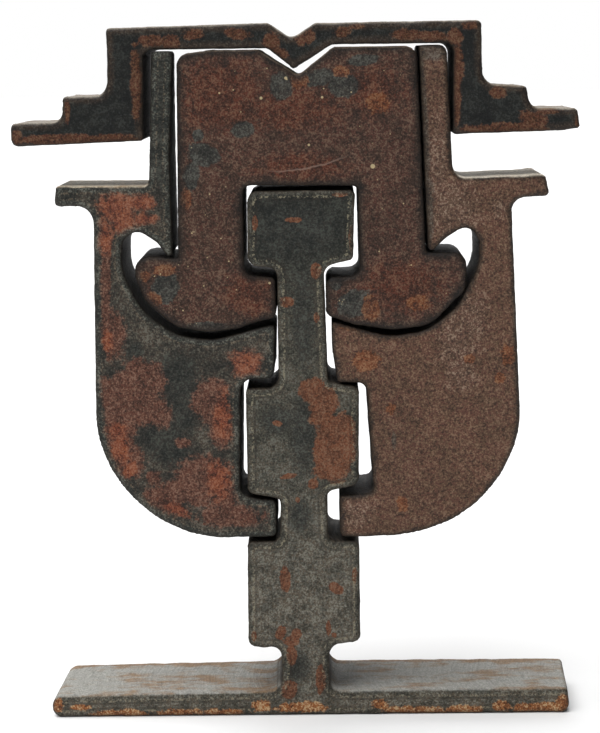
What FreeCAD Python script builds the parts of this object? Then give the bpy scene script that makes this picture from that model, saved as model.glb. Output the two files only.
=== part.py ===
import FreeCAD, Part
import math
import os

# Magnetic desk sculpture: a hatted face built up from five interlocking
# flame-cut steel plates, every plate cut right through the same thickness.
# Millimetres.  X runs across the face, Y runs from front (-) to back (+),
# Z is up.  The origin is the middle of the footprint, on the desk.

# ---- Plate stock -----------------------------------------------------
PLATE = 38.1            # thickness of every plate, 1 1/2 in

# ---- Spine and foot bar ----------------------------------------------
FOOT_LEFT = -94.9
FOOT_RIGHT = 100.7
FOOT_HEIGHT = 9.3       # foot bar beside the neck, at the front
FOOT_RISE = 0.9         # how much thicker the bar is at the rear
FOOT_SKEW = 1.9         # how far its ends run to the right, front to rear
SPINE_X = 1.2           # centre line of the spine
HEAD_HALF = 19.2        # half widths
BLOCK_HALF = 21.0
NECK_HALF = 8.9
LOW_BLOCK = (26.9, 67.1)        # bottom and top of each block
MID_BLOCK = (86.0, 124.9)
HEAD_BLOCK = (170.9, 197.6)

# ---- Hat -------------------------------------------------------------
BRIM_HALF = 102.9
STEP_HALF = 83.4
CROWN_HALF = 67.3
CROWN_TOP = 257.4
STEP_TOP = 233.4
BRIM_TOP = 225.0
HAT_UNDER = 248.8       # underside of the beam, left half
HAT_TILT = 1.0          # how much higher the right half sits
SKIRT_LEFT = -54.9      # inner faces of the two skirts
SKIRT_RIGHT = 57.0

# ---- Arch (forehead, nose sides and the two curled feet) --------------
ARCH_TOP = 248.3
CUTOUT_LEFT = -19.5     # cut-out round the head block
CUTOUT_RIGHT = 22.4
CUTOUT_TOP = 199.0
SOLE_LOW = 145.7        # lowest level of the curled feet
TOE_TOP = 174.3

# ---- Cheeks ----------------------------------------------------------
BAR_TOP_LEFT = 248.2
BAR_BEVEL = 2.2         # slant of the left bar's inner side, front to rear
BAR_TOP_RIGHT = 249.2
EAR_LEFT = -88.0
EAR_RIGHT = 92.3
JAW_RADIUS = 45.0
JAW_BOTTOM = 68.5
UPPER_FINGER = 128.4    # underside of the left upper finger
LOWER_FINGER = 83.0     # upper side of the left lower finger

# ---- Magnets ---------------------------------------------------------
MAGNET_DIA = 6.0
MAGNET_THICK = 3.0
MAGNET_Y = 10.0         # front and rear magnet of a seat, off the middle
POCKET_GAP = 0.1        # glue all round, and behind the disc
MAGNET_SINK = 0.1       # disc below the face of its seat


def unit(vector):
    """Return a copy of the vector with length one."""
    copy = FreeCAD.Vector(vector)
    copy.normalize()
    return copy


def rounded(corners, y):
    """Closed wire at depth y through (x, z, radius) corners with tangent arcs."""
    edges = []
    starts = []
    ends = []
    count = len(corners)
    points = [FreeCAD.Vector(x, y, z) for x, z, radius in corners]
    for i in range(count):
        corner = points[i]
        back = unit(points[i - 1] - corner)
        ahead = unit(points[(i + 1) % count] - corner)
        half = back.getAngle(ahead) / 2.0
        radius = corners[i][2]
        reach = radius / math.tan(half)
        start = corner + back * reach
        end = corner + ahead * reach
        middle = corner + unit(back + ahead) * (radius / math.sin(half) - radius)
        edges.append(Part.Arc(start, middle, end).toShape())
        starts.append(start)
        ends.append(end)
    sides = []
    for i in range(count):
        following = starts[(i + 1) % count]
        sides.append(edges[i])
        if ends[i].distanceToPoint(following) > 1e-4:
            sides.append(Part.LineSegment(ends[i], following).toShape())
    return Part.Wire(sides)


def flattened(face):
    """The same face on a true plane, if the loft left a flat one as a spline."""
    flat = face.findPlane()
    if flat is None or isinstance(face.Surface, Part.Plane):
        return face
    return Part.Face(flat, face.OuterWire)


def plate(corners, slants):
    """Cut one plate to the outline, right through the thickness.

    Slants maps a corner's number to the (x, z) shift of its rear end, where
    the torch left the cut out of square.
    """
    front = rounded(corners, -PLATE / 2.0)
    if not slants:
        return Part.Face(front).extrude(FreeCAD.Vector(0, PLATE, 0))
    behind = []
    for number, (x, z, radius) in enumerate(corners):
        shift_x, shift_z = slants.get(number, (0.0, 0.0))
        behind.append((x + shift_x, z + shift_z, radius))
    rear = rounded(behind, PLATE / 2.0)
    lofted = Part.makeLoft([front, rear], True, True)
    return Part.makeSolid(Part.makeShell([flattened(face) for face in lofted.Faces]))


def spine_outline():
    """Inverted T: three blocks on a neck, standing on the foot bar."""
    left = SPINE_X - BLOCK_HALF
    right = SPINE_X + BLOCK_HALF
    neck_left = SPINE_X - NECK_HALF
    neck_right = SPINE_X + NECK_HALF
    head_left = SPINE_X - HEAD_HALF
    head_right = SPINE_X + HEAD_HALF
    low, low_top = LOW_BLOCK
    mid, mid_top = MID_BLOCK
    head, head_top = HEAD_BLOCK
    return [
        # foot bar, left end, then up the left side
        (FOOT_LEFT, 0.0, 3.8),
        (FOOT_LEFT + 0.3, FOOT_HEIGHT - 1.1, 3.9),
        (neck_left, FOOT_HEIGHT, 5.4),
        (neck_left, low - 0.8, 3.6),
        (left - 0.4, low - 0.2, 3.4),
        (left, low_top, 1.8),
        (neck_left, low_top, 3.4),
        (neck_left + 0.5, mid - 2.8, 1.8),
        (left + 0.4, mid - 0.4, 2.6),
        (left + 0.3, mid_top, 1.8),
        (neck_left + 0.4, mid_top, 4.4),
        (neck_left + 0.4, head - 1.5, 3.6),
        (head_left, head - 0.5, 3.8),
        (head_left + 0.3, head_top, 4.2),
        # over the head and down the right side
        (head_right + 1.0, head_top, 2.0),
        (head_right + 0.2, head + 1.3, 1.6),
        (neck_right - 0.4, head - 1.3, 4.0),
        (neck_right + 0.7, mid_top + 2.3, 2.4),
        (right + 0.1, mid_top, 3.0),
        (right - 0.3, mid + 2.4, 4.0),
        (neck_right, mid - 0.2, 2.6),
        (neck_right + 0.1, low_top + 0.1, 3.0),
        (right - 0.3, low_top - 0.3, 2.8),
        (right - 0.3, low + 1.5, 3.0),
        (neck_right + 0.1, low - 0.1, 4.4),
        (neck_right, FOOT_HEIGHT, 4.2),
        # foot bar, right end
        (FOOT_RIGHT - 1.2, FOOT_HEIGHT + 0.2, 1.6),
        (FOOT_RIGHT, 0.0, 3.2),
    ]


def hat_outline():
    """Stepped hat with a V pressed into the middle of its beam."""
    right_under = HAT_UNDER + HAT_TILT
    return [
        # crown, from the left corner over the V to the right corner
        (-CROWN_HALF, CROWN_TOP - 0.8, 1.2),
        (-9.2, CROWN_TOP + 0.3, 1.2),
        (-0.9, CROWN_TOP - 5.4, 3.6),
        (7.7, CROWN_TOP, 1.1),
        (CROWN_HALF, CROWN_TOP + 0.3, 1.8),
        # right steps
        (CROWN_HALF + 0.5, STEP_TOP + 1.4, 5.4),
        (STEP_HALF - 0.1, STEP_TOP + 0.7, 1.6),
        (STEP_HALF + 1.8, BRIM_TOP + 1.1, 4.2),
        (BRIM_HALF - 1.1, BRIM_TOP + 0.9, 1.8),
        (BRIM_HALF, BRIM_TOP - 6.2, 0.9),
        (BRIM_HALF - 7.0, BRIM_TOP - 7.1, 12.0),
        # inside, right skirt, V and left skirt
        (SKIRT_RIGHT, BRIM_TOP - 7.9, 1.2),
        (SKIRT_RIGHT + 0.3, right_under, 3.4),
        (13.8, right_under + 0.1, 2.6),
        (-0.2, HAT_UNDER - 7.5, 1.0),
        (-9.6, HAT_UNDER, 2.2),
        (SKIRT_LEFT + 0.6, HAT_UNDER, 3.2),
        (SKIRT_LEFT, BRIM_TOP - 8.8, 1.2),
        # left steps
        (-BRIM_HALF, BRIM_TOP - 10.4, 2.8),
        (-BRIM_HALF, BRIM_TOP - 2.0, 2.0),
        (-STEP_HALF - 0.8, BRIM_TOP - 1.8, 4.0),
        (-STEP_HALF - 0.2, STEP_TOP - 1.0, 1.2),
        (-CROWN_HALF - 0.1, STEP_TOP - 0.9, 5.2),
    ]


def arch_outline():
    """Forehead arch with a V notch, a square cut-out and two curled feet."""
    return [
        # top with the V notch
        (-42.3, ARCH_TOP - 1.4, 5.0),
        (-30.0, ARCH_TOP, 30.0),
        (-13.0, ARCH_TOP, 2.6),
        (1.4, ARCH_TOP - 9.4, 1.6),
        (14.2, ARCH_TOP + 0.6, 4.0),
        (44.2, ARCH_TOP + 0.6, 4.8),
        # right leg and curled foot
        (47.1, TOE_TOP, 1.2),
        (62.2, TOE_TOP - 0.1, 5.0),
        (61.7, SOLE_LOW + 14.9, 6.0),
        (48.6, SOLE_LOW + 1.9, 12.0),
        (35.0, SOLE_LOW + 0.3, 25.0),
        (20.0, SOLE_LOW + 2.6, 20.0),
        (10.5, SOLE_LOW + 6.1, 3.2),
        (10.4, TOE_TOP - 8.6, 3.4),
        # cut-out round the head block
        (CUTOUT_RIGHT + 0.6, TOE_TOP - 8.2, 3.6),
        (CUTOUT_RIGHT, CUTOUT_TOP, 1.6),
        (CUTOUT_LEFT + 0.4, CUTOUT_TOP + 0.6, 2.6),
        (CUTOUT_LEFT + 0.1, TOE_TOP - 7.3, 3.6),
        # left curled foot and leg
        (-8.0, TOE_TOP - 8.4, 2.2),
        (-7.7, SOLE_LOW + 5.8, 2.8),
        (-21.0, SOLE_LOW + 1.9, 22.0),
        (-33.0, SOLE_LOW, 22.0),
        (-45.0, SOLE_LOW + 2.5, 16.0),
        (-55.9, SOLE_LOW + 11.9, 12.0),
        (-59.2, TOE_TOP - 7.6, 10.0),
        (-58.8, TOE_TOP + 0.1, 5.0),
        (-50.0, TOE_TOP - 0.3, 12.0),
        (-43.3, TOE_TOP - 1.1, 1.0),
    ]


def left_cheek_outline():
    """Left cheek: bar, ear, eye hook, round jaw and two fingers."""
    return [
        # bar, down its inner side to the hook of the eye
        (-51.4, BAR_TOP_LEFT, 1.4),
        (-43.4, BAR_TOP_LEFT, 1.2),
        (-45.4, 212.0, 60.0),
        (-45.2, 174.3, 1.0),
        (-47.3, 174.3, 0.9),
        (-50.8, 179.2, 7.0),
        (-57.5, 183.6, 4.6),
        (-63.6, 181.2, 5.4),
        # eye
        (-63.9, 168.9, 16.0),
        (-56.6, 153.6, 22.0),
        (-44.5, 145.0, 20.0),
        (-31.5, 143.0, 18.0),
        # upper finger
        (-8.2, 148.8, 1.6),
        (-8.9, UPPER_FINGER, 3.4),
        (-21.3, UPPER_FINGER, 4.6),
        # lower finger
        (-22.2, LOWER_FINGER + 1.4, 4.6),
        (-9.0, LOWER_FINGER - 0.3, 1.6),
        (-8.8, JAW_BOTTOM + 0.5, 2.0),
        # jaw
        (-30.0, JAW_BOTTOM + 0.2, 40.0),
        (-46.6, JAW_BOTTOM + 2.5, JAW_RADIUS),
        (-63.5, JAW_BOTTOM + 16.7, JAW_RADIUS),
        (-75.2, JAW_BOTTOM + 35.0, JAW_RADIUS),
        # ear
        (-73.8, 192.7, 6.0),
        (EAR_LEFT, 192.9, 1.7),
        (EAR_LEFT + 0.8, 200.2, 1.0),
        (-53.3, 199.9, 2.0),
    ]


def right_cheek_outline():
    """Right cheek: the same form, leaning a little to the right."""
    return [
        # bar, down its outer side to the ear
        (44.9, BAR_TOP_RIGHT - 0.1, 1.0),
        (54.9, BAR_TOP_RIGHT, 3.4),
        (57.1, 201.4, 4.8),
        (EAR_RIGHT - 2.0, 202.4, 1.6),
        (EAR_RIGHT, 194.5, 1.6),
        # jaw
        (78.2, 193.8, 4.8),
        (81.9, JAW_BOTTOM + 38.5, JAW_RADIUS - 7.0),
        (72.5, JAW_BOTTOM + 19.0, JAW_RADIUS),
        (56.4, JAW_BOTTOM + 4.7, JAW_RADIUS),
        (37.0, JAW_BOTTOM + 0.4, JAW_RADIUS + 5.0),
        # lower finger
        (14.7, JAW_BOTTOM - 0.1, 2.0),
        (14.6, LOWER_FINGER + 1.0, 1.2),
        (27.5, LOWER_FINGER + 2.2, 2.6),
        # upper finger
        (24.9, UPPER_FINGER - 2.0, 3.0),
        (14.5, UPPER_FINGER - 1.6, 1.2),
        (12.4, 140.0, 25.0),
        (12.6, 149.6, 1.2),
        # eye
        (33.0, 143.7, 18.0),
        (46.5, 145.4, 18.0),
        (58.6, 154.2, 20.0),
        (66.5, 169.6, 14.0),
        (66.5, 180.6, 6.0),
        (61.3, 183.9, 4.4),
        (54.4, 179.6, 10.0),
        (49.6, 174.9, 0.9),
        (47.9, 175.6, 0.9),
    ]


def disc(seat, inward, y, diameter, depth, start):
    """Cylinder going into a plate from its seat, from start to start + depth."""
    x, z = seat
    base = FreeCAD.Vector(x, y, z) + inward * start
    return Part.makeCylinder(diameter / 2.0, depth, base, inward)


def seat_pair(prefix, seat, inward):
    """Pocket cutters and magnets of one seat, as (name, cutter, magnet)."""
    bore = MAGNET_DIA + 2.0 * POCKET_GAP
    depth = MAGNET_SINK + MAGNET_THICK + POCKET_GAP
    mouth = 1.0         # the cutter starts clear of the face
    items = []
    for name, y in (("front", -MAGNET_Y), ("rear", MAGNET_Y)):
        cutter = disc(seat, inward, y, bore, depth + mouth, -mouth)
        magnet = disc(seat, inward, y, MAGNET_DIA, MAGNET_THICK, MAGNET_SINK)
        items.append((prefix + "_" + name, cutter, magnet))
    return items


def build(plate_name, corners, slants, seats):
    """A plate with its magnet pockets, and the magnets, as a dictionary."""
    body = plate(corners, slants)
    parts = {}
    for prefix, seat, inward in seats:
        for name, cutter, magnet in seat_pair(prefix, seat, inward):
            body = body.cut(cutter)
            parts[name] = magnet
    parts[plate_name] = body.Solids[0]
    return parts


UP = FreeCAD.Vector(0, 0, 1)
TO_LEFT = FreeCAD.Vector(-1, 0, 0)
TO_RIGHT = FreeCAD.Vector(1, 0, 0)

HAT_SEATS = [
    ("hat_magnet_left", (-48.1, HAT_UNDER), UP),
    ("hat_magnet_right", (49.8, HAT_UNDER + HAT_TILT), UP),
]
ARCH_SEATS = [
    ("arch_magnet_left", (-7.9, 158.4), TO_LEFT),
    ("arch_magnet_right", (10.45, 158.9), TO_RIGHT),
]
LEFT_CHEEK_SEATS = [
    ("left_cheek_magnet_upper", (-15.2, UPPER_FINGER), UP),
    ("left_cheek_magnet_lower", (-14.2, JAW_BOTTOM + 0.43), UP),
]
RIGHT_CHEEK_SEATS = [
    ("right_cheek_magnet_upper", (19.0, UPPER_FINGER - 1.75), UP),
    ("right_cheek_magnet_lower", (19.6, JAW_BOTTOM), UP),
]

# rear ends of corners that the torch left out of square, by corner number
SPINE_SLANTS = {
    0: (FOOT_SKEW, 0.0),
    1: (FOOT_SKEW, FOOT_RISE),
    2: (0.0, FOOT_RISE),
    25: (0.0, FOOT_RISE),
    26: (FOOT_SKEW, FOOT_RISE / 2.0),
    27: (FOOT_SKEW, 0.0),
}
LEFT_CHEEK_SLANTS = {
    1: (-BAR_BEVEL, 0.0),
    2: (-BAR_BEVEL / 5.0, 0.0),
    3: (-BAR_BEVEL / 5.0, 0.0),
}

PLATES = [
    ("spine_plate", spine_outline(), SPINE_SLANTS, []),
    ("hat_plate", hat_outline(), {}, HAT_SEATS),
    ("arch_plate", arch_outline(), {}, ARCH_SEATS),
    ("left_cheek_plate", left_cheek_outline(), LEFT_CHEEK_SLANTS, LEFT_CHEEK_SEATS),
    ("right_cheek_plate", right_cheek_outline(), {}, RIGHT_CHEEK_SEATS),
]

os.makedirs("parts", exist_ok=True)
for plate_name, corners, slants, seats in PLATES:
    for name, shape in build(plate_name, corners, slants, seats).items():
        shape.exportStep("parts/" + name + ".step")
        print(name, round(shape.Volume), shape.isValid())
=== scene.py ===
import math

import bmesh
import bpy
import numpy as np
from mathutils import Matrix, Vector, kdtree, noise


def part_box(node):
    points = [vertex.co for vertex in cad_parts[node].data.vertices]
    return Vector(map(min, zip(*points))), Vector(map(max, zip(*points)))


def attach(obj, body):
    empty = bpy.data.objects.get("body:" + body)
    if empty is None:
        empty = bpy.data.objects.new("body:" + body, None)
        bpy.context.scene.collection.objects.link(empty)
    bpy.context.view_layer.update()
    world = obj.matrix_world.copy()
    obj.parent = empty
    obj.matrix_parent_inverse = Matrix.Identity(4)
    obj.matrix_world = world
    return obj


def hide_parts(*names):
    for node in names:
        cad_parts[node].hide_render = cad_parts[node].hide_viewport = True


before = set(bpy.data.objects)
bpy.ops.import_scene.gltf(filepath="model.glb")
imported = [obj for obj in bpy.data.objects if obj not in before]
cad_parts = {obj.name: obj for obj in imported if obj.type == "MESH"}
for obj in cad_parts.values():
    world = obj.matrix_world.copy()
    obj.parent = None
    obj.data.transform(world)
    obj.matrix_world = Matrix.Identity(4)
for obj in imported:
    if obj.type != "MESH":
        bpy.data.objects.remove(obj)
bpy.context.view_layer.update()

MM = 0.001
HALF_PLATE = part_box("spine_plate")[1].y     # half the plates' thickness


# ---- Camera, lights and floor -----------------------------------------

LENS = 100.0            # focal length, in millimetres
CAMERA_AWAY = 0.739     # from the plates' front faces
CAMERA_ASIDE = 0.011
CAMERA_UP = 0.2463
LOOK_DOWN = 8.71        # degrees
LOOK_LEFT = 0.80
AMBIENT = 0.08          # light from the studio's walls
FLOOR_HALF = 12.0       # half the floor's width, in metres


def add_camera():
    """A long lens in front, a little to the right, looking slightly down."""
    lens = bpy.data.cameras.new("camera")
    lens.lens = LENS
    lens.sensor_width = 36.0
    lens.clip_start = 0.01
    camera = bpy.data.objects.new("camera", lens)
    place = Vector((CAMERA_ASIDE, -HALF_PLATE - CAMERA_AWAY, CAMERA_UP))
    turn = Matrix.Rotation(math.radians(LOOK_LEFT), 4, "Z")
    tilt = Matrix.Rotation(math.radians(90.0 - LOOK_DOWN), 4, "X")
    roll = Matrix.Rotation(math.radians(-LOOK_LEFT), 4, "Z")
    camera.matrix_world = Matrix.Translation(place) @ turn @ tilt @ roll
    bpy.context.scene.collection.objects.link(camera)
    bpy.context.scene.camera = camera


def add_sun(name, toward, strength, spread):
    """Broad even light that travels along toward, spread degrees wide."""
    lamp = bpy.data.lights.new(name, "SUN")
    lamp.energy = strength
    lamp.angle = math.radians(spread)
    light = bpy.data.objects.new(name, lamp)
    light.matrix_world = Vector(toward).to_track_quat("-Z", "Y").to_matrix().to_4x4()
    bpy.context.scene.collection.objects.link(light)


def add_floor():
    """A pale sheet that the sculpture stands on."""
    shape = bmesh.new()
    bmesh.ops.create_grid(shape, x_segments=1, y_segments=1, size=FLOOR_HALF)
    mesh = bpy.data.meshes.new("floor")
    shape.to_mesh(mesh)
    shape.free()
    floor = bpy.data.objects.new("floor", mesh)
    bpy.context.scene.collection.objects.link(floor)
    finish = Finish("pale_paper")
    finish.surface({"Base Color": (0.80, 0.80, 0.80, 1.0), "Roughness": 0.9})
    mesh.materials.append(finish.material)


def add_surroundings():
    """Plain white studio all round."""
    world = bpy.data.worlds.new("studio")
    world.use_nodes = True
    back = world.node_tree.nodes["Background"]
    back.inputs["Color"].default_value = (1.0, 1.0, 1.0, 1.0)
    seen = world.node_tree.nodes.new("ShaderNodeLightPath")
    power = world.node_tree.nodes.new("ShaderNodeMapRange")
    power.inputs["To Min"].default_value = AMBIENT
    power.inputs["To Max"].default_value = 1.0
    world.node_tree.links.new(seen.outputs["Is Camera Ray"], power.inputs["Value"])
    world.node_tree.links.new(power.outputs[0], back.inputs["Strength"])
    bpy.context.scene.world = world
    bpy.context.scene.view_settings.view_transform = "Standard"


# ---- Shader arithmetic -------------------------------------------------

class Wire:
    """A node's output, written into sums like a number."""

    def __init__(self, finish, socket):
        self.finish = finish
        self.socket = socket

    def _sum(self, operation, left, right):
        """One arithmetic node on two wires or numbers."""
        return self.finish.node("ShaderNodeMath", {"operation": operation}, {0: left, 1: right})

    def __add__(self, other):
        return self._sum("ADD", self, other)

    def __radd__(self, other):
        return self._sum("ADD", other, self)

    def __sub__(self, other):
        return self._sum("SUBTRACT", self, other)

    def __rsub__(self, other):
        return self._sum("SUBTRACT", other, self)

    def __mul__(self, other):
        return self._sum("MULTIPLY", self, other)

    def __rmul__(self, other):
        return self._sum("MULTIPLY", other, self)


class Finish:
    """One material and its nodes."""

    def __init__(self, name):
        self.material = bpy.data.materials.new(name)
        self.material.use_nodes = True
        self.tree = self.material.node_tree
        self.tree.nodes.clear()

    def node(self, kind, settings=None, inputs=None, out=0):
        """Make a node, set it, wire its inputs, and return one output."""
        made = self.tree.nodes.new(kind)
        for key, value in (settings or {}).items():
            setattr(made, key, value)
        for key, value in (inputs or {}).items():
            if isinstance(value, Wire):
                self.tree.links.new(value.socket, made.inputs[key])
            else:
                made.inputs[key].default_value = value
        return Wire(self, made.outputs[out])

    def place(self):
        """Object coordinates, in metres."""
        return self.node("ShaderNodeTexCoord", out="Object")

    def held(self, name):
        """A number kept on the mesh under that name."""
        return self.node("ShaderNodeAttribute", {"attribute_name": name}, out="Fac")

    def grain(self, size, detail, rough, at=None, twist=0.0):
        """Cloudy noise from 0 to 1, with features of about that size."""
        inputs = {
            "Vector": at or self.place(),
            "Scale": 1.0 / size,
            "Detail": detail,
            "Roughness": rough,
            "Distortion": twist,
        }
        return self.node("ShaderNodeTexNoise", None, inputs)

    def step(self, value, low, high):
        """Smooth 0 to 1 as value goes from low to high."""
        inputs = {"Value": value, "From Min": low, "From Max": high}
        return self.node("ShaderNodeMapRange", {"interpolation_type": "SMOOTHSTEP"}, inputs)

    def mix(self, share, first, second):
        """Blend two colours."""
        inputs = {0: share, 6: first, 7: second}
        return self.node("ShaderNodeMix", {"data_type": "RGBA"}, inputs, out=2)

    def dimmed(self, colour, factor):
        """A colour times a number."""
        return self.node("ShaderNodeVectorMath", {"operation": "SCALE"}, {0: colour, 3: factor})

    def scaled(self, at, factors):
        """Coordinates stretched along each axis."""
        inputs = {0: at, 1: factors}
        return self.node("ShaderNodeVectorMath", {"operation": "MULTIPLY"}, inputs)

    def together(self, x, y, z):
        """Coordinates from three numbers."""
        return self.node("ShaderNodeCombineXYZ", None, {0: x, 1: y, 2: z})

    def bump(self, height, reach):
        """A normal from a height between 0 and 1, reach metres tall."""
        inputs = {"Strength": 1.0, "Distance": reach, "Height": height}
        return self.node("ShaderNodeBump", None, inputs)

    def surface(self, inputs):
        """The material's one shader."""
        shader = self.node("ShaderNodeBsdfPrincipled", None, inputs, out="BSDF")
        output = self.tree.nodes.new("ShaderNodeOutputMaterial")
        self.tree.links.new(shader.socket, output.inputs["Surface"])


def tint(code):
    """Linear colour from a hexadecimal one."""
    linear = []
    for start in (1, 3, 5):
        part = int(code[start:start + 2], 16) / 255.0
        linear.append(part / 12.92 if part <= 0.04045 else ((part + 0.055) / 1.055) ** 2.4)
    return tuple(linear) + (1.0,)


# ---- Torch-cut plates ---------------------------------------------------

GRID = 0.8 * MM         # spacing of the remade surface
EDGE_ROUND = 1.8 * MM   # melted round along the edges of the faces
WANDER = 0.22 * MM      # how far the torch strays from its line
WANDER_FADE = 2.5 * MM  # how far into the face that shows
LAG = 3.0 * MM          # how far its drag lines trail, front or rear, behind the middle
STROKE = 0.07 * MM      # height of the drag lines
SCALE_LOSS = 0.09 * MM  # depth that flaking takes off the faces
DENT = 0.07 * MM        # height of the dents and scale on the faces
ON_LINE = 0.3 * MM      # a point nearer to the outline than this counts as on it


class Outline:
    """A plate's outline: points a short step apart, in order, all the way round."""

    STEP = 0.4 * MM

    def __init__(self, shape, depth):
        rims = [e for e in shape.edges if self.on_rim(e, depth)]
        following = {}
        for edge in rims:
            for vert in edge.verts:
                following.setdefault(vert, []).append(edge)
        edge = rims[0]
        vert = edge.verts[0]
        corners = [vert.co.copy()]
        for repeat in range(len(rims) - 1):
            vert = edge.other_vert(vert)
            corners.append(vert.co.copy())
            first, second = following[vert]
            edge = second if first == edge else first
        corners.append(corners[0].copy())
        xz = np.array([(c.x, c.z) for c in corners])
        area = np.sum(xz[:-1, 0] * xz[1:, 1] - xz[1:, 0] * xz[:-1, 1])
        if area < 0:
            xz = xz[::-1]
        lengths = np.hypot(*np.diff(xz, axis=0).T)
        along = np.concatenate([[0.0], np.cumsum(lengths)])
        self.run = np.arange(0.0, along[-1], self.STEP)
        self.points = np.stack([np.interp(self.run, along, xz[:, k]) for k in (0, 1)], axis=1)
        ahead = np.roll(self.points, -2, axis=0) - np.roll(self.points, 2, axis=0)
        ahead /= np.linalg.norm(ahead, axis=1)[:, None]
        self.outward = np.stack([ahead[:, 1], -ahead[:, 0]], axis=1)
        self.tree = kdtree.KDTree(len(self.points))
        for index, (x, z) in enumerate(self.points):
            self.tree.insert((x, 0.0, z), index)
        self.tree.balance()

    @staticmethod
    def on_rim(edge, depth):
        """True for an edge between the face at that depth and a cut side."""
        if max(abs(v.co.y - depth) for v in edge.verts) > 1e-5:
            return False
        leans = sorted(abs(face.normal.y) for face in edge.link_faces)
        return len(leans) == 2 and leans[0] < 0.5 < leans[1]

    def measure(self, places):
        """Run, distance inside, direction away from the outline, and outward, of each place."""
        find = self.tree.find
        index = np.array([find((x, 0.0, z))[1] for x, y, z in places.tolist()])
        offset = places[:, (0, 2)] - self.points[index]
        outward = self.outward[index]
        gap = np.maximum(np.hypot(*offset.T), 1e-9)
        within = np.sum(offset * outward, axis=1) < 0.0
        inside = np.where(within, gap, -gap)
        clear = within & (gap > ON_LINE)
        direction = np.where(clear[:, None], -offset / gap[:, None], outward)
        return self.run[index], inside, direction, outward


def wave(values, size, seed):
    """Smooth repeatable wobble from -1 to 1 along a line of values."""
    return np.array([noise.noise(Vector((v / size, seed, 0.0))) for v in values.tolist()])


def cloud(places, size, seed):
    """Smooth repeatable wobble from -1 to 1 through space."""
    scaled = places / size + seed
    return np.array([noise.noise(Vector(p)) for p in scaled.tolist()])


def remeshed(node):
    """A plate on an even grid, with the outlines of its front and rear faces."""
    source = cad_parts[node]
    shape = bmesh.new()
    shape.from_mesh(source.data)
    bmesh.ops.remove_doubles(shape, verts=shape.verts, dist=1e-6)
    outlines = [Outline(shape, depth) for depth in (-HALF_PLATE, HALF_PLATE)]
    blank = bpy.data.meshes.new(node + "_blank")
    shape.to_mesh(blank)
    shape.free()
    piece = bpy.data.objects.new(node + "_cut", blank)
    bpy.context.scene.collection.objects.link(piece)
    even = piece.modifiers.new("even", "REMESH")
    even.mode = "VOXEL"
    even.voxel_size = GRID
    made = piece.evaluated_get(bpy.context.evaluated_depsgraph_get())
    mesh = bpy.data.meshes.new_from_object(made)
    piece.modifiers.clear()
    piece.data = mesh
    return piece, outlines


def vertex_places(mesh):
    """The mesh's vertices as an array, in metres."""
    places = np.empty(len(mesh.vertices) * 3)
    mesh.vertices.foreach_get("co", places)
    return places.reshape(-1, 3)


def keep_values(mesh, name, values):
    """Store one number for each vertex under that name."""
    kept = mesh.attributes.new(name, "FLOAT", "POINT")
    kept.data.foreach_set("value", values.astype(np.float32))


def torch_cut(node, lumps):
    """A plate as the torch leaves it: rounded rims, wandering sides, slag."""
    piece, outlines = remeshed(node)
    mesh = piece.data
    places = vertex_places(mesh)
    front, rear = [outline.measure(places) for outline in outlines]
    run = front[0]

    # the section's outline goes evenly from the front face's to the rear's
    back = (places[:, 1] / HALF_PLATE + 1.0) / 2.0
    inside = front[1] + (rear[1] - front[1]) * back
    inside = np.maximum(inside, 0.0)
    share = back[:, None]
    direction = front[2] + (rear[2] - front[2]) * share
    outward = front[3] + (rear[3] - front[3]) * share
    side = np.sign(places[:, 1])
    deep = HALF_PLATE - np.abs(places[:, 1])
    cut = np.clip((deep - inside) / GRID + 0.5, 0.0, 1.0)

    # round the rim: slide the corner of the section on to a quarter circle
    seed = 7.0 * len(node)
    uneven = 0.45 * wave(run, 9 * MM, seed) + 0.2 * side * wave(run, 4 * MM, seed + 3)
    radius = EDGE_ROUND * (1.0 + uneven)
    from_x = inside - radius
    from_y = deep - radius
    reach = np.maximum(np.hypot(from_x, from_y), 1e-9)
    corner = (from_x < 0.0) & (from_y < 0.0)
    new_inside = np.where(corner, radius + from_x / reach * radius, inside)
    new_deep = np.where(corner, radius + from_y / reach * radius, deep)

    # the torch's wander and its drag lines, fading out across the face
    near = np.exp(-(inside / WANDER_FADE) ** 2)
    lag = LAG * (places[:, 1] / HALF_PLATE) ** 2
    strokes = wave(run + lag, 1.1 * MM, seed + 11)
    stray = wave(run, 7 * MM, seed + 17) * 0.6 + wave(run, 2.6 * MM, seed + 23) * 0.4
    shift = near * (WANDER * stray + STROKE * strokes)

    # shallow dents and scale over the faces
    face = 1.0 - cut
    dents = cloud(places, 11 * MM, seed) * 0.5 + cloud(places, 2.6 * MM, seed + 5) * 0.5
    new_deep = new_deep + face * (SCALE_LOSS + DENT * dents)

    moved = places.copy()
    slide = inside - new_inside + shift
    moved[:, 0] += direction[:, 0] * slide
    moved[:, 2] += direction[:, 1] * slide
    moved[:, 1] = side * (HALF_PLATE - new_deep)
    for x, y, z, size, height in lumps:
        middle = np.array((x, y, z)) * MM
        away = np.linalg.norm(places - middle, axis=1)
        swell = height * MM * np.exp(-(away / (size * MM)) ** 2)
        moved[:, 0] += outward[:, 0] * swell * cut
        moved[:, 2] += outward[:, 1] * swell * cut
        moved[:, 1] += side * swell * face
    low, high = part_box(node)
    moved = np.clip(moved, np.array(low), np.array(high))
    mesh.vertices.foreach_set("co", moved.ravel())
    mesh.update()
    keep_values(mesh, "rim", inside / MM)
    keep_values(mesh, "run", run / MM)
    keep_values(mesh, "cut", cut)
    mesh.polygons.foreach_set("use_smooth", [True] * len(mesh.polygons))
    return piece


FAR_OFF = -3.0          # kept where no blob is near


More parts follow.
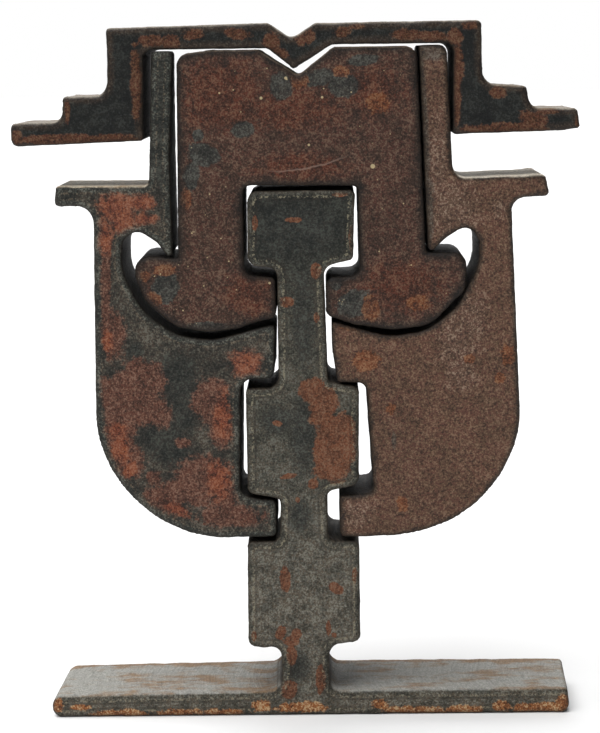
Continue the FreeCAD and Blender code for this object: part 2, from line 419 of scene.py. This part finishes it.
def keep_patches(piece, name, blobs):
    """Store how far each point lies inside the nearest blob: 1 in its middle, 0 on its edge."""
    places = vertex_places(piece.data) / MM
    best = np.full(len(places), FAR_OFF)
    for x, z, wide, high, lean in blobs:
        turn = math.radians(lean)
        across = (places[:, 0] - x) * math.cos(turn) + (places[:, 2] - z) * math.sin(turn)
        up = (places[:, 2] - z) * math.cos(turn) - (places[:, 0] - x) * math.sin(turn)
        best = np.maximum(best, 1.0 - np.hypot(across / wide, up / high))
    keep_values(piece.data, name, best)


# ---- Finishes -------------------------------------------------------------

ROUGHNESS = 0.5         # of bare scale, before rust and cut sides add to it
DULL = 1.33             # index of refraction, low for a matt crust
RELIEF = 0.6 * MM       # height of the grain that shades the surface


class CutSteel(Finish):
    """Finish of a torch-cut plate, which carries rim, run and cut on its mesh."""

    def __init__(self, name):
        super().__init__(name)
        self.at = self.place()
        self.rim = self.held("rim")         # millimetres in from the edge of the face
        self.run = self.held("run")         # millimetres round the outline
        self.cut = self.held("cut")         # 1 on the cut sides, 0 on the faces
        self.fine = self.grain(0.62 * MM, 2.0, 0.6, self.at) - 0.5
        self.speckle = self.grain(1.7 * MM, 4.0, 0.7, self.at) - 0.5
        self.cloud = self.grain(6.5 * MM, 5.0, 0.6, self.at) - 0.5
        self.broad = self.grain(26 * MM, 3.0, 0.5, self.at) - 0.5
        self.hue = self.grain(1.1 * MM, 3.0, 0.65, self.scaled(self.at, (1.0, 1.0, 1.3)), 0.8)
        self.ragged = self.cloud * 1.5 + self.speckle * 1.5
        self.depth = self.part("Y")
        lag = self.depth * self.depth * (LAG / MM / (HALF_PLATE / MM) ** 2)
        stroke = self.together(self.run + lag, self.depth * 0.07, 0.0)
        self.drag = self.grain(0.9, 3.0, 0.6, stroke) - 0.5

    def tones(self, pits, body, warm, grains, clouding=1.2):
        """Mottled steel: body and warm colours, dark pits and light grains."""
        ground = self.mix(self.step(self.hue + self.cloud * 0.6, 0.42, 0.60), tint(body), tint(warm))
        level = self.fine * 2.1 + self.speckle * 1.1 + self.cloud * clouding * 1.3
        ground = self.mix(self.step(level, 0.0, 0.42), ground, tint(grains))
        return self.mix(1.0 - self.step(level, -0.42, -0.02), ground, tint(pits))

    def shaded(self, colour, low, high):
        """Slow light and dark across the plate."""
        return self.dimmed(colour, self.broad * (high - low) * 1.8 + (low + high) / 2)

    def patch(self, name, spread=0.5, soft=0.2):
        """Mask of the ragged patches that the mesh carries under that name."""
        return self.step(self.held(name) + self.ragged * spread, -soft / 2, soft / 2)

    def lay(self, mask, colour, under, share=1.0):
        """Put a colour over another where the mask says."""
        return self.mix(mask * share, under, colour)

    def near_rim(self, width, soft=1.0):
        """Mask of a ragged band along the edges of the faces, width in millimetres."""
        edge = self.rim + self.speckle * 2.2 + self.cloud * 2.6
        return 1.0 - self.step(edge, width - soft, width + soft)

    def lip(self, width, spread):
        """Mask of a broken line that runs width millimetres in from the edges."""
        away = self.rim + self.cloud * 1.2 - width
        line = 1.0 - self.step(away * away, 0.1 * spread * spread, spread * spread)
        return line * self.step(self.fine + self.speckle, -0.02, 0.16)

    def flecks(self, size, chance):
        """Mask of small scattered flecks."""
        cells = {"Vector": self.at, "Scale": 1.0 / size}
        cell = self.node("ShaderNodeTexVoronoi", None, cells, out="Distance")
        thrown = self.grain(size * 2.6, 1.0, 0.5, self.at)
        return self.step(thrown, 1.0 - chance, 1.02 - chance) * (1.0 - self.step(cell, 0.14, 0.30))

    def spot(self, x, z, radius):
        """Mask of one round spot on the front face, in millimetres."""
        middle = (x * MM, -HALF_PLATE, z * MM)
        ends = {0: self.at, 1: middle}
        away = self.node("ShaderNodeVectorMath", {"operation": "DISTANCE"}, ends, out="Value")
        return 1.0 - self.step(away, radius * 0.7 * MM, radius * 1.1 * MM)

    def part(self, axis):
        """One coordinate, in millimetres."""
        return self.node("ShaderNodeSeparateXYZ", None, {0: self.at}, out=axis) * (1.0 / MM)

    def sides(self, dark, light, dust_and_light, tan, lowest, highest):
        """Cut sides: drag lines through the thickness, and on open tops between two levels dust with
        painted light that lightens the upward faces.
        """
        level = self.part("Z")
        open_top = self.step(level, lowest, lowest + 3.0) * (1.0 - self.step(level, highest - 3.0, highest))
        stain = self.grain(7.0, 4.0, 0.6, self.together(self.run * 0.4, self.depth * 1.3, 3.0)) - 0.5
        uneven = self.drag * 1.4 + self.speckle * 0.9 + self.cloud * 0.5
        # the dark ground colours are dark scale, deepened as painted shade for the walls seen in the gaps
        # between plates
        ground = self.mix(self.step(uneven, -0.3, 0.3), tint(dark), tint(light))
        up = self.node("ShaderNodeNewGeometry", out="Normal")
        height = self.node("ShaderNodeSeparateXYZ", None, {0: up}, out="Z")
        # upward faces take dust colours paler than the dust itself: dust plus painted light on the tops
        dust_and_lit_tops = self.step(height + self.speckle * 0.5, 0.3, 0.9) * open_top
        rear = self.step(self.depth + self.cloud * 8.0, 10.0, 18.0)
        stained = self.step(stain + rear * 0.2 + self.cloud * 0.4, -0.04, 0.2)
        worn_and_lit = self.mix(stained, tint(dust_and_light), tint(tan))
        streaks = self.drag * 0.6 + self.fine * 1.5 + self.speckle * 1.2 + 1.0
        return self.mix(dust_and_lit_tops, ground, self.dimmed(worn_and_lit, streaks))

    def dress(self, face, side, rusty):
        """Join face and side colours, and set roughness and relief."""
        flat = 1.0 - self.cut
        # the faces darker within about 2 mm of their edges
        edge_darkening = (1.0 - self.step(self.rim + self.speckle * 0.8, 0.4, 2.0)) * flat * 0.45
        face = self.dimmed(face, 1.0 - edge_darkening)
        relief = self.speckle * 0.7 + self.fine * 0.5 + self.cloud * 0.5 + rusty * 0.2
        height = flat * relief + self.cut * (self.drag * 1.0 + self.speckle * 0.5)
        rough = self.speckle * 0.5 + rusty * 0.22 + self.cut * 0.2 + ROUGHNESS
        self.surface({
            "Base Color": self.mix(self.cut, face, side),
            "Roughness": rough,
            "IOR": DULL,
            "Normal": self.bump(height, RELIEF),
        })
        return self.material


def spine_steel():
    """Grey-green scale with foxy rust patches and an orange line low on the foot bar."""
    steel = CutSteel("spine_steel")
    height = steel.part("Z")
    face = steel.tones("#26261f", "#43433b", "#4d453a", "#66665c")
    # lighter towards the foot and darker at the head: partly patina, partly painted light for the floor's
    # bounce that fades with height
    low = steel.tones("#38342b", "#57564e", "#5d5244", "#7f7d72")
    face = steel.lay(1.0 - steel.step(height + steel.cloud * 40.0, 40.0, 120.0), low, face)
    head = steel.tones("#121412", "#20231f", "#292822", "#3c3f38", 1.4)
    face = steel.lay(steel.step(height + steel.cloud * 24.0, 150.0, 178.0), head, face)
    dark = steel.patch("dark", 1.2, 0.8)
    face = steel.lay(dark, steel.tones("#161916", "#272a27", "#2f2d27", "#41443f", 1.2), face, 0.8)
    rust = steel.patch("rust", 0.6)
    face = steel.lay(rust, steel.tones("#452a1c", "#643f2c", "#77452c", "#80604a", 0.6), face, 0.92)
    rim = steel.near_rim(1.5)
    face = steel.lay(rim, steel.tones("#2b2b24", "#4a4a41", "#574d3e", "#8b897c"), face, 0.8)
    face = steel.lay(steel.lip(2.3, 0.6), tint("#8a826c"), face, 0.75)
    face = steel.lay(steel.lip(3.2, 0.6), tint("#241b14"), face, 0.85)
    foot = steel.patch("foot", 1.2, 0.35)
    face = steel.lay(foot, steel.tones("#4c2a14", "#8e5126", "#a8642e", "#d0b084", 0.8), face, 0.85)
    side = steel.sides("#1b1712", "#463e34", "#8b8a84", "#7d664f", -2.0, 17.0)
    return steel.dress(face, side, rust)


def hat_steel():
    """Near-black scale, rusted along the edges and in the V."""
    steel = CutSteel("hat_steel")
    face = steel.shaded(steel.tones("#070909", "#111413", "#1a1a16", "#2d302d"), 0.85, 1.15)
    rust = steel.patch("rust", 0.9, 0.35)
    brown = steel.near_rim(2.0, 1.6)
    face = steel.lay(brown, steel.tones("#221a14", "#3b2e25", "#42301f", "#5c4f42"), face, 0.85)
    face = steel.lay(rust, steel.tones("#2e1c14", "#55341f", "#5f3626", "#735640", 0.8), face, 0.85)
    side = steel.sides("#12100d", "#2c2620", "#857d72", "#6f5e4d", 205.0, 265.0)
    return steel.dress(face, side, rust)


def arch_steel():
    """Fine maroon rust with grey scale left in patches."""
    steel = CutSteel("arch_steel")
    face = steel.shaded(steel.tones("#231813", "#433025", "#4e2d23", "#6c5748", 0.7), 0.85, 1.15)
    red = steel.patch("red", 1.0, 0.9)
    face = steel.lay(red, steel.tones("#2a1610", "#4b2e23", "#5f2f1f", "#73523f", 0.9), face, 0.75)
    grey = steel.patch("grey", 0.6)
    face = steel.lay(grey, steel.tones("#181b19", "#2c302d", "#353530", "#4f534e"), face, 0.88)
    rust = steel.patch("rust", 0.9)
    face = steel.lay(rust, steel.tones("#3b2117", "#643a24", "#75401f", "#8a6547"), face, 0.75)
    rim = steel.near_rim(2.5, 1.6)
    face = steel.lay(rim, steel.tones("#130f0c", "#251d18", "#2f2219", "#453a30"), face, 0.85)
    across = steel.part("X")
    curve = across * 0.1 + across * across * 0.008 + 205.0
    away = steel.part("Z") - curve + steel.cloud * 2.0
    scratch = 1.0 - steel.step(away * away, 0.02, 0.16)
    scratch = scratch * steel.step(across, -14.0, -2.0) * (1.0 - steel.step(across, 12.0, 22.0))
    face = steel.lay(scratch * (1.0 - steel.cut), tint("#8a7468"), face, 0.55)
    spots = steel.flecks(1.3 * MM, 0.30) * (1.0 - steel.cut)
    for x, z, radius in SPOTS:
        spots = spots + steel.spot(x, z, radius)
    face = steel.lay(spots, tint("#c9b68c"), face, 0.8)
    side = steel.sides("#0c0a08", "#261e18", "#7a6c5d", "#75553e", 235.0, 265.0)
    return steel.dress(face, side, red)


def left_cheek_steel():
    """Charcoal scale broken by red-brown and bright red rust."""
    steel = CutSteel("left_cheek_steel")
    face = steel.shaded(steel.tones("#1f1e1a", "#38362f", "#42372d", "#5e5b51"), 0.8, 1.2)
    black = steel.patch("black", 1.0, 0.7)
    face = steel.lay(black, steel.tones("#121413", "#222622", "#2b2a25", "#3d403a"), face, 0.88)
    rust = steel.patch("rust", 0.9, 0.4)
    face = steel.lay(rust, steel.tones("#33211a", "#56392e", "#643c2e", "#846454", 0.6), face, 0.92)
    bright = steel.patch("bright", 1.3, 0.9)
    face = steel.lay(bright, steel.tones("#44241a", "#743d2c", "#8a4a2c", "#98664e", 1.0), face, 0.85)
    rim = steel.near_rim(2.4, 1.2)
    face = steel.lay(rim, steel.tones("#1d1f1b", "#373c37", "#413b33", "#74766c"), face, 0.85)
    face = steel.lay(steel.lip(2.6, 0.5), tint("#7d6a55"), face, 0.4)
    # the pale dust colours are partly painted light, brightened to make up for the hat brim's shade on the
    # ear tops
    side = steel.sides("#0d0b09", "#2b2620", "#c4b8a3", "#b3997b", 190.0, 225.0)
    return steel.dress(face, side, rust)


def right_cheek_steel():
    """Even brown rust with pale salt-like grain."""
    steel = CutSteel("right_cheek_steel")
    face = steel.shaded(steel.tones("#35251c", "#584131", "#5f3d31", "#7c6450", 0.4), 0.9, 1.12)
    pale = steel.patch("pale", 1.2, 1.2)
    face = steel.lay(pale, steel.tones("#3b2d25", "#604a3c", "#67493c", "#9a8674", 0.4), face, 0.7)
    grey = steel.patch("grey", 0.9, 0.6)
    face = steel.lay(grey, steel.tones("#1f211d", "#3f3f38", "#4a4038", "#64625a"), face, 0.7)
    rust = steel.patch("rust", 0.9)
    face = steel.lay(rust, steel.tones("#412618", "#6d4028", "#7c4628", "#93694b"), face, 0.75)
    rim = steel.near_rim(1.6, 1.2)
    face = steel.lay(rim, steel.tones("#221b16", "#3a2f27", "#47351f", "#65584b"), face, 0.75)
    # the pale dust colours are partly painted light, brightened to make up for the hat brim's shade on the
    # ear tops
    side = steel.sides("#100c0a", "#332920", "#d8cebd", "#c1ad94", 190.0, 225.0)
    return steel.dress(face, side, rust)


def magnet_plating():
    """Satin nickel plate."""
    finish = Finish("magnet_plating")
    scuffs = finish.grain(0.8 * MM, 4.0, 0.6)
    colour = finish.mix(scuffs, tint("#8d8d8b"), tint("#b4b4b0"))
    finish.surface({"Base Color": colour, "Metallic": 1.0, "Roughness": scuffs * 0.2 + 0.22})
    return finish.material


# ---- Patches, spots and lumps, in millimetres ------------------------------

# patches: x and z of the middle, half width, half height, and lean in degrees
PATCHES = {
    "spine_plate": {
        "dark": [
            (0, 184, 14, 9, 0), (2, 150, 4, 16, 0), (2, 108, 5, 15, 0), (-8, 113, 6, 5, 0),
            (0, 77, 4, 6, 0), (-2, 19, 5, 6, 0),
        ],
        "rust": [
            (5, 124, 5, 5, 0), (9, 118, 5, 8, -20), (13, 103, 8, 13, 0), (17, 108, 5, 8, 0),
            (11, 94, 6, 4, 0), (-4, 92, 3, 1, 10), (5, 89, 2, 2, 0), (-1, 83, 1, 1, 0),
            (-8, 112, 2, 1, -20),
            (-6, 53, 2, 5, 0), (13, 49, 3, 2, -35), (20, 54, 1, 3, 0),
            (-8, 32, 2, 3, -20), (-2, 32, 2, 2, 25), (-4, 29, 3, 2, 0), (-4, 23, 2, 4, 0),
            (10, 34, 1, 3, 0), (12, 31, 1, 1, 0), (-18, 31, 1, 2, 0), (7, 168, 2, 3, 0),
            (-4, 157, 3, 2, 0), (7, 151, 1, 2, 0), (-1, 187, 3, 1, 0), (-15, 186, 1, 3, 0),
            (16, 196, 3, 1, 0), (20, 180, 1, 5, 0), (-5, 10, 3, 4, 0), (7, 14, 2, 6, 0),
        ],
        "foot": [
            (-68, 1, 12, 2, 0), (-47, 1, 8, 2, 0), (-30, 1, 9, 2, 0), (-84, 4, 4, 1, 0), (-93, 5, 3, 3, 0),
            (-16, 4, 4, 2, 0), (-1, 3, 10, 2, 0), (40, 1, 12, 2, 0), (60, 1, 9, 2, 0), (29, 4, 3, 2, 0),
            (75, 3, 4, 2, 0), (88, 2, 13, 2, 0), (98, 4, 3, 3, 0),
        ],
    },
    "hat_plate": {
        "rust": [
            (-51, 252, 5, 2, 0), (-44, 251, 3, 3, 0), (-36, 254, 4, 2, 0), (-20, 254, 5, 2, -10),
            (-8, 251, 3, 3, -30), (-5, 247, 3, 2, -30), (4, 253, 4, 3, 30), (17, 254, 3, 2, 0),
            (23, 256, 3, 1, 0), (41, 253, 6, 2, 0), (50, 252, 5, 2, 0), (58, 252, 3, 3, -30),
            (63, 256, 3, 2, 0), (59, 242, 2, 8, 0), (58, 229, 2, 9, 0), (-57, 237, 2, 14, 0),
            (73, 232, 3, 2, 0), (86, 222, 5, 3, -20), (92, 225, 5, 1, 0), (102, 221, 1, 3, 0),
            (75, 219, 15, 2, 0), (-82, 227, 1, 5, 0), (-84, 217, 16, 2, 0), (-66, 217, 9, 2, 0),
            (-101, 218, 2, 3, 0),
        ],
    },
    "arch_plate": {
        "grey": [
            (-5, 235, 4, 5, 0), (9, 238, 6, 3, 10), (18, 235, 6, 4, 0), (25, 244, 6, 2, 8),
            (-19, 220, 4, 3, 0), (-35, 218, 2, 2, 0), (-33, 211, 6, 4, -15), (-38, 203, 3, 5, 0),
            (-48, 163, 5, 6, -20), (21, 156, 7, 5, 10), (-33, 148, 8, 2, 0), (14, 164, 3, 3, 0),
        ],
        "rust": [
            (-40, 195, 2, 4, 0), (-48, 169, 4, 2, 0), (-55, 167, 2, 2, 0), (2, 237, 3, 3, 0),
            (17, 240, 3, 2, 0), (30, 228, 4, 4, 0), (27, 154, 3, 5, 0), (44, 156, 4, 3, 0),
            (-53, 158, 3, 3, -30),
        ],
        "red": [
            (-27, 236, 14, 9, 0), (-25, 227, 16, 7, 0), (-2, 227, 18, 8, 0), (28, 233, 11, 9, 0),
            (2, 206, 16, 5, 0), (-17, 160, 9, 8, 0), (38, 162, 14, 9, 0),
        ],
    },
    "left_cheek_plate": {
        "rust": [
            (-70, 164, 2, 20, -3), (-68, 146, 5, 9, 0), (-62, 122, 12, 11, 0), (-56, 131, 8, 5, -20),
            (-52, 117, 5, 6, 20), (-66, 111, 6, 9, -10), (-64, 100, 6, 8, 20), (-32, 120, 7, 9, 0),
            (-29, 111, 4, 9, 0), (-43, 105, 3, 2, 0), (-54, 92, 3, 3, 0), (-36, 93, 11, 7, 0),
            (-41, 87, 12, 6, 0), (-50, 83, 9, 4, -30), (-28, 85, 5, 8, 0), (-25, 77, 12, 4, 0),
        ],
        "bright": [
            (-19, 134, 6, 5, -25), (-28, 115, 3, 8, 0), (-67, 110, 3, 3, 0), (-66, 103, 3, 5, 0),
            (-63, 95, 2, 3, -20), (-30, 91, 4, 7, 0), (-46, 80, 6, 2, -28), (-70, 143, 2, 4, 0),
            (-66, 192, 6, 5, 0), (-56, 194, 5, 3, 0), (-55, 188, 4, 2, 0), (-63, 187, 5, 4, 40),
            (-70, 182, 3, 6, 0),
        ],
        "black": [
            (-60, 139, 3, 4, 0), (-44, 129, 7, 10, 0), (-42, 117, 5, 9, 0), (-51, 108, 9, 7, 0),
            (-46, 101, 8, 5, 0), (-48, 224, 5, 30, 0), (-83, 196, 4, 4, 0),
        ],
    },
    "right_cheek_plate": {
        "grey": [
            (46, 223, 2, 26, 3), (48, 190, 2, 12, 0), (50, 247, 6, 3, 0), (35, 105, 1, 3, 0),
        ],
        "pale": [
            (57, 190, 8, 9, 0), (52, 208, 3, 14, 0), (74, 190, 3, 3, 0), (58, 141, 6, 10, 0),
            (60, 130, 5, 6, 0), (64, 150, 5, 9, 0), (20, 78, 6, 6, 0),
        ],
        "rust": [
            (20, 147, 6, 1, -8), (63, 135, 2, 2, 0), (77, 136, 3, 4, 0), (74, 128, 2, 2, 0),
            (34, 117, 2, 2, 0), (25, 135, 5, 4, 0), (38, 81, 2, 3, 0),
        ],
    },
}

# pale spots on the arch: x, z and radius
SPOTS = [
    (28, 206, 0.9), (-12, 231, 0.6), (5, 214, 0.5), (-3, 238, 0.6),
    (10, 231, 0.5), (-27, 233, 0.4), (-10, 164, 0.5),
]

# slag: x, y and z of the middle, then size and height
LUMPS = {
    "spine_plate": [
        (14, -19, 125, 2, 0.5), (-16, -19, 123, 2, 0.4), (-14, -19, 27, 2, 0.3),
        (11, 19, 66, 2, 0.5), (20, 19, 28, 2, 0.5), (-14, 19, 171, 2, 0.5),
    ],
    "hat_plate": [(-66, -19, 255, 2, 0.3), (70, 19, 234, 2, 0.5), (-84, 19, 232, 2, 0.5)],
    "left_cheek_plate": [(-84, -19, 200, 2, 0.4), (-72, 19, 100, 2, 0.4)],
    "right_cheek_plate": [(88, 19, 202, 2, 0.4), (80, 19, 105, 2, 0.4)],
    "arch_plate": [(-58, 19, 160, 2, 0.3), (60, 19, 160, 2, 0.3)],
}

PLATES = {
    "spine_plate": ("stand", spine_steel),
    "hat_plate": ("hat", hat_steel),
    "arch_plate": ("arch", arch_steel),
    "left_cheek_plate": ("left_cheek", left_cheek_steel),
    "right_cheek_plate": ("right_cheek", right_cheek_steel),
}


# ---- The scene --------------------------------------------------------------

add_camera()
add_surroundings()
add_floor()
add_sun("overhead", (0.30, 0.10, -1.0), 4.4, 60.0)
add_sun("behind", (0.0, -1.0, -0.6), 1.2, 50.0)

for node, (body, finish_of) in PLATES.items():
    piece = torch_cut(node, LUMPS[node])
    for name, blobs in PATCHES[node].items():
        keep_patches(piece, name, blobs)
    piece.data.materials.append(finish_of())
    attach(piece, body)
    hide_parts(node)

plating = magnet_plating()
for name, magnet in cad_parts.items():
    if "magnet" in name:
        magnet.data.materials.clear()
        magnet.data.materials.append(plating)
